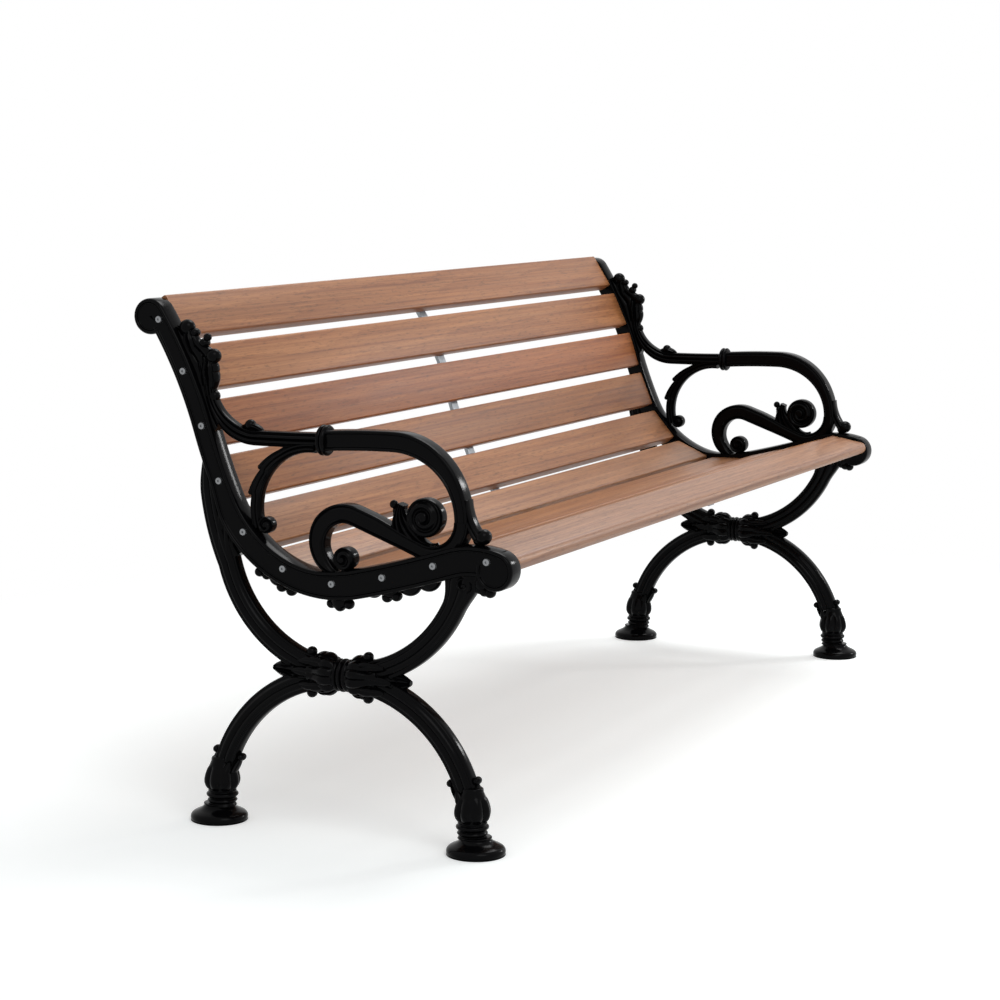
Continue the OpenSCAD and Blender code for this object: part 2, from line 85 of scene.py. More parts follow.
def empty_material(name):
    """A new material, and the nodes of its tree, which has none yet."""
    made = bpy.data.materials.new(name)
    made.use_nodes = True
    made.node_tree.nodes.clear()
    return made, made.node_tree.nodes


def soft_box(name, place, aim, size, watts):
    """A square area lamp at place that faces aim. Its sides are squared to a direction that no
    lamp shines along, so that the cross product doesn't vanish."""
    lamp = bpy.data.lights.new(name, "AREA")
    lamp.shape, lamp.size, lamp.energy = "SQUARE", size, watts
    box = bpy.data.objects.new(name, lamp)
    back = np.array(place, float) - np.array(aim, float)
    back /= np.linalg.norm(back)
    side = np.cross([0.01, 1, 0.02], back)
    side /= np.linalg.norm(side)
    turn = Matrix(np.array([side, np.cross(back, side), back]).T.tolist()).to_4x4()
    box.matrix_world = Matrix.Translation(place) @ turn
    bpy.context.collection.objects.link(box)


camera = bpy.data.objects.new("camera", bpy.data.cameras.new("camera"))
camera.data.lens = LENS_MM
camera.data.clip_end = 100
turn = Matrix(look_axes(AZIMUTH, ELEVATION, ROLL).T.tolist()).to_4x4()
camera.matrix_world = Matrix.Translation(CAMERA_AT) @ turn
bpy.context.collection.objects.link(camera)
bpy.context.scene.camera = camera
bpy.context.scene.view_settings.view_transform = "Standard"

paper_mesh = bpy.data.meshes.new("paper")
paper_mesh.from_pydata([(x * PAPER_REACH, y * PAPER_REACH, 0) for x, y in
                        ((-1, -1), (1, -1), (1, 1), (-1, 1))], [], [(0, 1, 2, 3)])
paper = bpy.data.objects.new("paper", paper_mesh)
bpy.context.collection.objects.link(paper)


def shown(nodes):
    """1 for what the camera and the gloss see, and 0 for the light that falls on things."""
    rays = add(nodes, "LightPath")
    return add(nodes, "Math", {0: rays.outputs["Is Camera Ray"], 1: rays.outputs["Is Glossy Ray"]},
               operation="MAXIMUM")


# White paper: matt in an oval round the bench, where it takes the shadow, and shadeless further
# out. The lamps leave the matt part a little grey, and its own glow makes up for that.
material, nodes = empty_material("white paper")
seen = shown(nodes)
where = add(nodes, "TexCoord").outputs["Object"]
stretch = add(nodes, "VectorMath", {0: where, 1: (0.62, 0.8, 0)}, operation="MULTIPLY")
away = add(nodes, "VectorMath", {0: stretch}, operation="LENGTH")
fade = add(nodes, "MapRange", {"Value": away.outputs["Value"], "From Min": 0.65, "From Max": 1.4},
           interpolation_type="SMOOTHSTEP")
matt = add(nodes, "BsdfDiffuse", {"Color": colour("eef2f2")})
glow = add(nodes, "MapRange", {"Value": seen, "To Max": 0.28})
near = add(nodes, "AddShader", {0: matt, 1: add(nodes, "Emission", {"Strength": glow})})
full = add(nodes, "MapRange", {"Value": seen, "To Min": 0.6})
far = add(nodes, "Emission", {"Strength": full})
add(nodes, "OutputMaterial", {0: add(nodes, "MixShader", {0: fade, 1: near, 2: far})})
paper_mesh.materials.append(material)

# The room is a white surround, a little dimmer as a light than it looks.
world = bpy.data.worlds.new("studio")
bpy.context.scene.world = world
world.use_nodes = True
nodes = world.node_tree.nodes
nodes.clear()
strength = add(nodes, "MapRange", {"Value": shown(nodes), "To Min": 0.62})
room = add(nodes, "Background", {"Color": (1, 1, 1, 1), "Strength": strength})
add(nodes, "OutputWorld", {0: room})

soft_box("key box", (1.9, -0.3, 4.0), (-0.2, 0, 0.3), 2.0, 84)
soft_box("side box", (-2.4, -2.6, 3.6), (0, 0, 0.4), 2.2, 45)
soft_box("edge box", (3.4, -2.3, 1.9), (0, 0, 0.5), 0.5, 24)

# ---- Rails: the S-curved part of each casting that carries the slats ----
# Cast iron, thick and stiff, with a sunk panel between two rolled edges on its outer face.
# It runs from a round nose at the front of the seat to a round knob behind the top slat.
MM = 0.001
STEP = 3.0
SPAN = 1700
RAIL_T = 36
# From the rail's middle line to its edge: towards the sitter, and away, at the seat and the back
SEAT_EDGE, BACK_EDGE = 22.5, 18.5
UNDER_EDGE, REAR_EDGE = 22.5, 14.5
KNOB_R, NOSE_R = 28, 30
PANEL_SINK = 3.2
# The rail's lowest point, and its arcs (radius, degrees) from there to the rear and to the front
LOW = (18, 391)
REAR_RUN = [(201, 65.5), (954, 7), (-700, 16)]
FRONT_RUN = [(201, 13), (1890, 5), (-125, 35)]
# From each edge inwards: a roll, a quirk and a fine bead, as (distance, depth)
MOULDING = np.array([(0, 6), (0.3, 3.6), (1.2, 1.6), (2.5, 0.35), (3.8, 0.1), (5, 0.7), (5.9, 1.9),
                     (6.3, 2.6), (6.9, 1.9), (7.6, 1.7), (8.3, 2.1), (8.7, 3)])
# The eased corners of the inner face, and the crowned edge towards the sitter (out, across)
SOFT = np.array([(0, 4), (0.4, 2), (1.4, 0.5), (3.2, 0)])
CROWN = np.array([(0.8, 9), (1.2, 0), (0.8, -7)])


def left(heading):
    """Unit vectors to the left of a heading."""
    return np.stack([-np.sin(heading), np.cos(heading)], axis=-1)


def arc_run(run, start, heading, step=STEP):
    """Points and headings along tangent arcs (radius, degrees), about a step apart. The centre
    lies one radius to the left, so a negative radius turns right."""
    place, turned, points, headings = np.array(start, float), np.radians(heading), [], []
    for radius, degrees in run:
        centre = place + radius * left(turned)
        sweep = np.radians(degrees) * np.sign(radius)
        count = max(3, int(abs(radius * sweep) / step))
        angle = turned + sweep * np.arange(count) / count
        points.append(centre - radius * left(angle))
        headings.append(angle)
        turned += sweep
        place = centre - radius * left(turned)
    return np.vstack([*points, place[None]]), np.append(np.concatenate(headings), turned)


def bar(points, headings, section):
    """Carry a section along a path in the side view: section[i, j] is (to the left, across) at
    station i, and the result is a grid of (side x, side y, across)."""
    flat = points[:, None] + left(headings)[:, None] * section[..., :1]
    return np.concatenate([flat, section[..., 1:]], axis=-1)


def skin(grid):
    """Vertices and faces of a tube: grid rows are its rings, and a fan closes each end."""
    rings, around = grid.shape[:2]
    number = np.arange(rings * around).reshape(rings, around)
    after = np.roll(number, -1, axis=1)
    quads = np.stack([number[:-1], after[:-1], after[1:], number[1:]], axis=-1).reshape(-1, 4)
    first, last = rings * around, rings * around + 1
    fans = [(b, a, first) for a, b in zip(number[0], after[0])]
    fans += [(a, b, last) for a, b in zip(number[-1], after[-1])]
    ends = np.array([grid[0].mean(axis=0), grid[-1].mean(axis=0)])
    return np.vstack([grid.reshape(-1, 3), ends]), quads.tolist() + fans


def closed_piece(name, points, faces, material, sharp):
    """Make one object from points in millimetres: doubles are merged, every face is turned
    outwards, and an edge stays sharp where its faces meet at more than so many degrees."""
    mesh = bpy.data.meshes.new(name)
    mesh.from_pydata((points * MM).tolist(), [], faces)
    shape = bmesh.new()
    shape.from_mesh(mesh)
    bmesh.ops.remove_doubles(shape, verts=shape.verts, dist=1e-6)
    bmesh.ops.recalc_face_normals(shape, faces=shape.faces)
    shape.to_mesh(mesh)
    shape.free()
    mesh.polygons.foreach_set("use_smooth", [True] * len(mesh.polygons))
    mesh.set_sharp_from_angle(angle=np.radians(sharp))
    mesh.materials.append(material)
    piece = bpy.data.objects.new(name, mesh)
    bpy.context.collection.objects.link(piece)
    return piece


def casting(name, grids, material, sharp=40):
    """Make the left and right copy of a piece of the end castings out of closed tubes, given
    in the side view in millimetres with the outer face towards minus."""
    points, faces = [], []
    for grid in grids:
        more, skins = skin(grid)
        first = sum(map(len, points))
        faces += [[first + i for i in face] for face in skins]
        points.append(more)
    y, z, across = np.vstack(points).T
    for side, sign in (("left", -1), ("right", 1)):
        place = np.column_stack([sign * (SPAN / 2 - across), y - MIDDLE_Y, z])
        piece = closed_piece(f"{name}_{side}", place, faces, material, sharp)
        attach(piece, "root")
        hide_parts(f"end_frame_{side}")


def gloss_black():
    """Gloss black enamel, sprayed on cast iron: the casting's sand grain and the paint's orange
    peel show as a slow ripple in the reflections, and the gloss varies a little with the peel.
    The sand is finer than half a millimetre and is drawn at 2.4 mm, so that it shows."""
    material, nodes = empty_material("gloss black enamel on cast iron")
    where = add(nodes, "TexCoord").outputs["Object"]
    grain = add(nodes, "TexNoise", {"Vector": where, "Scale": 420, "Detail": 3, "Roughness": 0.6})
    peel = add(nodes, "TexNoise", {"Vector": where, "Scale": 70, "Detail": 2})
    ripple = add(nodes, "Bump", {"Height": peel, "Strength": 0.2, "Distance": 0.0006})
    rough = add(nodes, "Bump", {"Height": grain, "Normal": ripple, "Strength": 0.2,
                                "Distance": 0.0003})
    gloss = add(nodes, "MapRange", {"Value": peel, "To Min": 0.11, "To Max": 0.2})
    paint = add(nodes, "BsdfPrincipled", {
        "Base Color": colour("050506"), "Roughness": gloss, "IOR": 1.5,
        "Specular IOR Level": 0.05, "Normal": rough})
    add(nodes, "OutputMaterial", {0: paint})
    return material


iron_paint = gloss_black()

rear_points, rear_headings = arc_run(REAR_RUN, LOW, 0)
front_points, front_headings = arc_run(FRONT_RUN, (-LOW[0], LOW[1]), 0)
rail_points = np.vstack([front_points[::-1] * (-1, 1), rear_points[1:]])
rail_headings = np.concatenate([-front_headings[::-1], rear_headings[1:]])
steps = np.linalg.norm(np.diff(rail_points, axis=0), axis=1)
rail_s = np.append(0, np.cumsum(steps))
rail_s -= rail_s[len(front_points) - 1]
KNOB_C = rail_points[-1] - (KNOB_R - BACK_EDGE) * left(rail_headings[-1])
NOSE_C = rail_points[0] - (NOSE_R - SEAT_EDGE) * left(rail_headings[0])
MIDDLE_Y = (KNOB_C[0] + KNOB_R + NOSE_C[0] - NOSE_R) / 2


def on_rail(s, out=0.0):
    """Point and heading in degrees at a distance along the rail, and out towards the sitter."""
    point = np.array([np.interp(s, rail_s, rail_points[:, k]) for k in (0, 1)])
    heading = np.interp(s, rail_s, rail_headings)
    return point + out * left(heading), np.degrees(heading)


def ease(value, low, high):
    """Rise smoothly from 0 at low to 1 at high: three times the square less twice the cube."""
    t = np.clip((value - low) / (high - low), 0, 1)
    return t * t * (3 - 2 * t)


def rail_section(front, rear, sunk):
    """Closed section of the rail at each station: the roll from the front edge, the panel, the
    roll from the rear edge, which sinks to the panel where sunk is 1, a plain inner face, and
    an edge towards the sitter that is crowned a little."""
    face = RAIL_T / 2
    depth = MOULDING[:, 1] + np.clip(PANEL_SINK - MOULDING[:, 1], 0, None) * sunk[:, None]
    strips = [(front[:, None] - MOULDING[:, 0], MOULDING[:, 1] - face),
              (MOULDING[::-1, 0] - rear[:, None], depth[:, ::-1] - face),
              (SOFT[:, 0] - rear[:, None], face - SOFT[:, 1]),
              (front[:, None] - SOFT[::-1, 0], face - SOFT[::-1, 1]),
              (front[:, None] + CROWN[:, 0], CROWN[:, 1])]
    strips = [np.stack(np.broadcast_arrays(*strip), axis=-1) for strip in strips]
    return np.concatenate(strips, axis=1)


def rail_end(centre, radius, gate_from, gate_to):
    """A disc with the rail's roll round its outer face, sunk to the panel between two angles,
    where the rail comes in. Rings run from the middle of one face to the middle of the other."""
    angle = np.linspace(0, 2 * np.pi, 97)[:-1]
    off = np.abs((np.degrees(angle) - (gate_from + gate_to) / 2 + 180) % 360 - 180)
    half = (gate_to - gate_from) / 2
    gate = 1 - ease(off, half - 6, half + 6)
    rings = np.vstack([(radius - 0.5, PANEL_SINK), MOULDING[::-1], (0, RAIL_T - 4),
                       np.column_stack([SOFT[:, 0], RAIL_T - SOFT[:, 1]]), (radius - 0.5, RAIL_T)])
    out, depth = radius - rings[:, :1], rings[:, 1:]
    across = depth + np.clip(PANEL_SINK - depth, 0, None) * gate - RAIL_T / 2
    return np.stack([centre[0] + out * np.cos(angle), centre[1] + out * np.sin(angle), across],
                    axis=-1)


front_edge = SEAT_EDGE + (BACK_EDGE - SEAT_EDGE) * ease(rail_s, -30, 60)
rear_edge = UNDER_EDGE + (REAR_EDGE - UNDER_EDGE) * ease(rail_s, 190, 270)
to_end = np.minimum(rail_s[-1] - rail_s, rail_s - rail_s[0])
rail = bar(rail_points, rail_headings,
           rail_section(front_edge, rear_edge, 1 - ease(to_end, 18, 24)))
knob_turn = np.degrees(rail_headings[-1])
nose_turn = np.degrees(rail_headings[0])
casting("rail", [rail, rail_end(KNOB_C, KNOB_R, knob_turn + 98, knob_turn + 170),
                 rail_end(NOSE_C, NOSE_R, nose_turn + 8, nose_turn + 80)], iron_paint)

# ---- Limbs: two rings that cross back to back ----
# The lower ring is the arch between the feet, and the upper one is the cup under the seat.
# Each is cast as a bundle of three ribs. The rear of the cup widens into a broad fluted flare
# that fills the corner behind the seat.
CROSS_Z, CROSS_GAP = 252, 8
CUP_R, CUP_FROM, CUP_TO = 208, 191.8, 370.8
LIMB_DEPTH, LIMB_T = 36, 28
ANKLE_IN, ANKLE_Z = 16.4, 102
FLARE_R, FLARE_FROM, FLARE_UP = 376, -14.5, 318
FOOT_SPAN = 450


def fluted_section(depth, thick, ribs=3, cut=0.3, around=96):
    """Closed section at each station: a flattened oval, squared by a power of 0.6, whose two
    faces carry ribs: the height falls by cut times the square of half of one less the cosine
    of the distance across."""
    angle = np.linspace(0, 2 * np.pi, around, endpoint=False)
    across = np.sign(np.cos(angle)) * np.abs(np.cos(angle)) ** 0.6
    up = np.sign(np.sin(angle)) * np.abs(np.sin(angle)) ** 0.6
    wave = 1 - cut * (0.5 - 0.5 * np.cos(np.pi * (ribs * (across + 1) + ribs + 1))) ** 2
    wave = np.where(np.abs(up) > 0.45, wave, 1)
    return np.stack([depth[:, None] / 2 * across, thick[:, None] / 2 * up * wave], axis=-1)


def on_ring(centre, radius, degrees):
    """The point of a ring at an angle."""
    return centre + radius * np.array([np.cos(np.radians(degrees)), np.sin(np.radians(degrees))])


def ring_part(centre, radius, from_deg, to_deg, step=STEP):
    """Points and headings along a circle, counter-clockwise from one angle to another."""
    start = on_ring(centre, radius, from_deg)
    return arc_run([(radius, to_deg - from_deg)], start, from_deg + 90, step)


def arc_between(start, end, radius, beyond=0.0):
    """Points and headings of the arc that turns left from start to end, and some degrees on."""
    chord = end - start
    turn = 2 * np.degrees(np.arcsin(np.hypot(*chord) / 2 / radius))
    heading = np.degrees(np.arctan2(chord[1], chord[0])) - turn / 2
    return arc_run([(radius, turn + beyond)], start, heading)


def fluted_web(near, far, thick, ribs, cut=0.4):
    """A plate between two lines, whose faces carry ribs from one end to the other: their
    height goes with the sine of the distance across, and both rims are rounded off."""
    v = np.linspace(0, 1, 10 * ribs + 1)
    flat = near[:, None] + (far - near)[:, None] * v[:, None]
    rim = np.sqrt(np.clip(1 - np.abs(2 * v - 1) ** 8, 0, 1))
    rib = 1 - cut + cut * np.abs(np.sin(np.pi * ribs * v)) ** 0.7
    height = thick[:, None] / 2 * rib * (0.3 + 0.7 * rim)
    outer = np.concatenate([flat, -height[..., None]], axis=-1)
    return np.concatenate([outer, (outer * (1, 1, -1))[:, ::-1]], axis=1)


half_span = FOOT_SPAN / 2 - ANKLE_IN
rise = CROSS_Z - CROSS_GAP / 2 - ANKLE_Z
ARCH_R = (half_span ** 2 + rise ** 2) / (2 * rise)
ARCH_C = np.array([0, ANKLE_Z + rise - ARCH_R])
CUP_C = np.array([0, CROSS_Z + CROSS_GAP / 2 + CUP_R])
arch_foot = np.degrees(np.arcsin((ANKLE_Z - ARCH_C[1]) / ARCH_R))
arch_points, arch_headings = ring_part(ARCH_C, ARCH_R, arch_foot - 1, 181 - arch_foot)
full = np.ones(len(arch_points))
arch = bar(arch_points, arch_headings, fluted_section(LIMB_DEPTH * full, LIMB_T * full, cut=0.22))
cup_points, cup_headings = ring_part(CUP_C, CUP_R, CUP_FROM - 2, CUP_TO)
top = 1 - ease(np.arange(len(cup_points)) * STEP, 0, 60)
cup = bar(cup_points, cup_headings,
          fluted_section(LIMB_DEPTH + 26 * top, LIMB_T - 1 + 3 * top, cut=0.24))
flare_points, flare_headings = arc_between(on_ring(CUP_C, CUP_R, FLARE_FROM), on_rail(FLARE_UP)[0],
                                           FLARE_R, 2)
full = np.ones(len(flare_points))
flare_depth = LIMB_DEPTH * (1 - 0.6 * ease(np.arange(len(full)) * STEP, 110, 190))
flare = bar(flare_points, flare_headings, fluted_section(flare_depth, LIMB_T * full, cut=0.24))
corner_s = np.linspace(150, FLARE_UP, len(flare_points))
web = fluted_web(np.array([on_rail(s, -5)[0] for s in corner_s]), flare_points, 22 * full, ribs=4)
casting("limbs", [arch, cup, flare, web], iron_paint)

# ---- Feet ----
# The arch stands on two turned feet: each is a domed base with a cushion edge, a ringed neck and
# a vase with leaves round its belly.
FOOT_IN = 6


def turned(centre, profile, flutes=0, cut=0.0, low=0, high=1):
    """Revolve (radius, height) about an upright axis. Between two heights the radius swells
    and falls by a part of itself, with the absolute cosine of half the flutes times the angle."""
    angle = np.linspace(0, 2 * np.pi, 129)[:-1]
    radius, height = np.array(profile, float).T
    inside = (ease(height, low, low + 6) * (1 - ease(height, high - 6, high)))[:, None]
    swell = radius[:, None] * (1 + cut * inside * (2 * np.abs(np.cos(flutes / 2 * angle)) - 1))
    return np.stack([centre[0] + swell * np.cos(angle), height[:, None] + 0 * swell,
                     swell * np.sin(angle)], axis=-1)


def smooth_profile(points, count):
    """A smooth curve through a few (radius, height) points, by Catmull-Rom pieces."""
    knots = np.array(points, float)
    padded = np.vstack([2 * knots[0] - knots[1], knots, 2 * knots[-1] - knots[-2]])
    t = np.linspace(0, len(knots) - 1 - 1e-9, count)
    i, f = t.astype(int), (t % 1)[:, None]
    a, b, c, d = (padded[i + k] for k in range(4))
    return 0.5 * (2 * b + (c - a) * f + (2 * a - 5 * b + 4 * c - d) * f ** 2
                  + (3 * b - a - 3 * c + d) * f ** 3)


BASE = [(0.1, 0), (41, 0), (43.8, 1.6), (45, 5), (44.4, 9), (41.6, 12.4), (37, 15), (31.4, 17.6),
        (26.6, 20.6), (23.6, 24), (22.4, 28), (0.1, 28)]
NECK = [(0.1, 24), (20.8, 24), (21.6, 26.6), (20.6, 29), (22.4, 31), (23.4, 33), (22, 35.2),
        (20.8, 36.6), (22.8, 38.6), (25, 41), (24.6, 44), (21.6, 46.6), (20.6, 49), (0.1, 49)]
VASE = [(0.1, 46), (20, 46), (21.6, 50), (25, 56), (26.8, 62), (26.6, 69), (24.4, 78),
        (20.6, 87), (17.2, 95), (14.8, 102), (0.1, 106)]
feet = []
for side in (-1, 1):
    foot = (side * FOOT_SPAN / 2, 0)
    ankle = (side * (FOOT_SPAN / 2 - FOOT_IN), 0)
    feet += [turned(foot, smooth_profile(BASE, 90)), turned(ankle, smooth_profile(NECK, 90)),
             turned(ankle, smooth_profile(VASE, 70), 8, 0.07, 48, 90)]
casting("feet", feet, iron_paint)

# ---- Arms: one bar from the back, over the front and down to the seat ----
# Behind its collar the arm is a bundle of ribs, and in front of it a plain bar with a fine
# bead along each edge. It ends in a band that rolls back along the seat and hooks over a ball.
ARM_S, ARM_OUT = -182.6, 20.9
FRONT_R, ARM_FOOT_R, HOOK_R, HOOK_BALL_R = 114, 50, 46, 18
ARM_DEPTH, ARM_FOOT_DEPTH, ARM_REAR_DEPTH = 31, 22, 20
ARM_T, ARM_REAR_T = 31, 24
BAND_DEPTH, BAND_T = 24, 29
BRACE_R, BRACE_W, BRACE_T = 100, 20, 16
# Behind the collar the arm sags: its arc there, and the heading that it sets out on
SAG_ARC, SAG_FROM = (2900, 2.4), -2.4
# Where the arm's rear end and the brace meet the rail, as distances along it
CURL_S, BRACE_S = 394, 164
# The arcs of the band from the arm's foot to the end of its hook. The ball lies past that end,
# and the band's middle keeps a gap from its surface.
HOOK_RUN = [(ARM_FOOT_R, 111), (-4000, 1.75), (-HOOK_R, 172)]
HOOK_GAP, HOOK_PAST = 6.4, 3.9


def edged_section(depth, thick, edge=4.0, crown=0.0):
    """Closed section at each station: a box with rounded corners, and on both faces a fine
    bead along each edge of a field that is sunk a little or crowned."""
    half = np.array([(0, 5.5), (0.2, 3.4), (1.1, 1.3), (2.6, 0.2), (edge, 0), (edge + 1.0, 0.9),
                     (edge + 1.7, 1.9), (edge + 2.6, 1.4), (edge + 4.6, 1.1 - crown)])
    rows = []
    for sign in (-1, 1):
        near = np.stack([np.broadcast_to(depth[:, None] / 2 - half[:, 0], (len(depth), len(half))),
                         sign * (thick[:, None] / 2 - half[:, 1])], axis=-1)
        far = near[:, ::-1] * (-1, 1)
        rows.append(np.concatenate([near, far], axis=1)[:, ::-sign])
    return np.concatenate(rows, axis=1)


def arc_to(start, heading, end):
    """Radius and degrees of the arc that sets out along a heading and reaches end."""
    chord = end - start
    bend = 2 * (np.arctan2(chord[1], chord[0]) - heading)
    return chord @ chord / (2 * chord @ left(heading)), np.degrees(bend)


def leaf_tips(distance, tips, length, depth):
    """How far overlapping leaves stand off an edge at each distance along it: most at a leaf's
    tip, evenly less over its length behind the tip, and nothing from 3 mm before it."""
    past = distance[:, None] - np.array(tips)
    return (depth * np.clip(1 - past / length, 0, 1) * ease(past, -3, 0)).max(axis=1)


def laid(centre, profile, flutes=0, cut=0.0, low=0, high=1):
    """The same revolve as turned, about a level axis that runs from front to rear."""
    upright = turned((centre[1], 0), profile, flutes, cut, low, high)
    return upright[..., [1, 0, 2]] + (centre[0], 0, 0)


arm_level = on_rail(ARM_S, ARM_OUT)[0] + (FRONT_R - ARM_FOOT_R, FRONT_R + ARM_FOOT_R)
arm_front, arm_front_h = arc_run([(FRONT_R, 90)], arm_level, 180)
arm_top, arm_top_h = arc_run([(-1400, 4.9)], arm_level, 0)
plain_points = np.vstack([arm_top[::-1], arm_front[1:]])
plain_headings = np.concatenate([arm_top_h[::-1] + np.pi, arm_front_h[1:]])
down = ease(np.linspace(0, 1, len(plain_points)), 0.45, 0.95)
arm_plain = bar(plain_points, plain_headings,
                edged_section(ARM_DEPTH + (ARM_FOOT_DEPTH - ARM_DEPTH) * down, ARM_T - 1 * down))

sag, sag_h = arc_run([SAG_ARC], arm_top[-1], SAG_FROM)
rear_r, rear_turn = arc_to(sag[-1], sag_h[-1], on_rail(CURL_S, 30)[0])
curl_points, curl_headings = arc_run([SAG_ARC, (rear_r, rear_turn + 14)], arm_top[-1], SAG_FROM)
along = np.linspace(0, 1, len(curl_points))
curl = bar(curl_points, curl_headings,
           fluted_section(ARM_REAR_DEPTH + 4 - 14 * ease(along, 0.6, 1),
                          ARM_REAR_T + 5 - 7 * along, cut=0.36))
# A fluted fill joins the curl's last stations to the rail.
FILL_N = 22
fill_s = np.linspace(CURL_S - 62, CURL_S + 12, FILL_N)
fill = fluted_web(np.array([on_rail(s, 14)[0] for s in fill_s]), curl_points[-FILL_N:],
                  np.full(FILL_N, 20.0), ribs=2)
# The brace rises from the rail to the arm's underside, 33 mm behind the collar.
at = round(33 / STEP)
under_arm = sag[at] - ARM_REAR_DEPTH / 2 * left(sag_h[at])
brace_points, brace_headings = arc_between(on_rail(BRACE_S, BACK_EDGE + BRACE_W / 4)[0], under_arm,
                                           BRACE_R, 10)
distance = STEP * np.arange(len(brace_points))
BRACE_TIPS = (53, 92)
tips = leaf_tips(distance, BRACE_TIPS, 38, 6.5)
brace_section = fluted_section(BRACE_W - 1 + tips, BRACE_T + 3 + 6 * ease(distance, 110, 180),
                               cut=0.3)
brace_section[..., 0] -= tips[:, None] / 2
brace = bar(brace_points, brace_headings, brace_section)

band_points, band_headings = arc_run([*HOOK_RUN, (-HOOK_BALL_R - HOOK_GAP, 60)], arm_front[-1],
                                     -90, 2.5)
along = np.linspace(0, 1, len(band_points))
hook = ease(along, 0.3, 0.5) * (1 - ease(along, 0.7, 0.9))
band_section = edged_section(BAND_DEPTH + 6 * hook - 17 * ease(along, 0.86, 1), BAND_T - 3 * along,
                             edge=2.6, crown=1.6)
band_section[..., 0] += 2.4 * hook[:, None]
band = bar(band_points, band_headings, band_section)
hook_end, hook_end_h = arc_run(HOOK_RUN, arm_front[-1], -90)
HOOK_BALL = (hook_end[-1] - (HOOK_BALL_R + HOOK_GAP) * left(hook_end_h[-1])
             + HOOK_PAST * np.array([np.cos(hook_end_h[-1]), np.sin(hook_end_h[-1])]))

COLLAR = [(0.1, -7.6), (17.6, -7.6), (21.4, -6.8), (23.6, -4), (22.6, -1.2), (20.4, 0),
          (22.6, 1.2), (23.6, 4), (21.4, 6.8), (17.6, 7.6), (0.1, 7.6)]
collar = laid(arm_top[-1] + (1, 0), smooth_profile(COLLAR, 90))
casting("arm", [arm_plain, curl, fill, band, brace, collar], iron_paint)

# ---- Scrolls: the round ends of the arm's band ----
# A large one stands inside the arm's foot, in a fluted shell with berries at its rim, and a
# small one ends the hook.
SCROLL_R = 31
SCROLL_C = arm_front[-1] + (ARM_FOOT_R + 12.5, 3)


def volute(centre, radius, thick, turns, start, hand=1, cut=0.34):
    """A thick round disc. On both faces a ridge winds inwards: its height goes with the cosine
    of the radius in turns less the angle, and the rim falls away with the root of one less
    the seventh power of the radius."""
    angle = np.linspace(0, 2 * np.pi, 97)[:-1]
    reach = np.concatenate([np.linspace(0.02, 0.9, 40), np.sin(np.linspace(1.15, np.pi / 2, 8))])
    around = hand * (angle - np.radians(start)) / (2 * np.pi)
    wave = 0.5 + 0.5 * np.cos(2 * np.pi * (turns * reach[:, None] - around))
    inside = ease(reach[:, None], 0.14, 0.26) * (1 - ease(reach[:, None], 0.84, 0.96))
    dome = np.sqrt(np.clip(1 - reach[:, None] ** 7, 0, 1))
    height = thick / 2 * (0.24 + 0.76 * dome) * (1 - cut * inside * (1 - wave ** 0.8))
    flat = radius * reach[:, None, None] * np.stack([np.cos(angle), np.sin(angle)], axis=-1)
    near = np.concatenate([centre + flat, -height[..., None]], axis=-1)
    far = np.concatenate([centre + flat, height[..., None]], axis=-1)
    return np.concatenate([near, far[::-1]], axis=0)


def lump(centre, radius, across=0.0, deep=1.0, count=20):
    """A berry: a ball, whose depth across the casting is deep times its width."""
    up = np.linspace(0.02, np.pi - 0.02, count)[:, None]
    angle = np.linspace(0, 2 * np.pi, 2 * count, endpoint=False)
    return np.stack([centre[0] + radius * np.sin(up) * np.cos(angle),
                     centre[1] + radius * np.sin(up) * np.sin(angle),
                     across + deep * radius * np.cos(up) + 0 * angle], axis=-1)


def leaf(run, start, heading, width, thick, lobes=3, ribs=3, full_at=1.0, across=0.0, lift=0.0):
    """A fleshy leaf along arcs: its width goes with a sine to the power of 0.6, notched between
    its lobes, and its section is an oval with ribs. full_at over 1 moves its broadest part
    towards the tip."""
    points, headings = arc_run(run, start, heading, 1.5)
    t = np.linspace(0, 1, len(points))[:, None]
    body = np.sin(np.pi * (0.06 + 0.9 * t) ** full_at) ** 0.6
    notch = 1 - 0.2 * (1 - np.abs(np.sin(np.pi * lobes * t)) ** 0.5) * ease(t, 0.05, 0.2)
    angle = np.linspace(0, 2 * np.pi, 56, endpoint=False)
    out, up = np.cos(angle), np.sin(angle)
    rib = 1 - 0.34 * (0.5 + 0.5 * np.cos(np.pi * (ribs + 1) * out)) * np.abs(up)
    section = np.stack([width / 2 * body * notch * out,
                        across + lift * t + thick / 2 * np.clip(body, 0.35, 1) * up * rib],
                       axis=-1)
    return bar(points, headings, section)


SHELL_R = 43
shell_points, shell_headings = ring_part(SCROLL_C, SHELL_R, -118, 24, 1.5)
along = np.linspace(0, 1, len(shell_points))
shell = bar(shell_points, shell_headings,
            fluted_section(4 + 34 * ease(along, 0, 0.5) - 27 * ease(along, 0.6, 1),
                           4 + 24 * ease(along, 0, 0.25) - 6 * along,
                           ribs=4, cut=0.45, around=128))
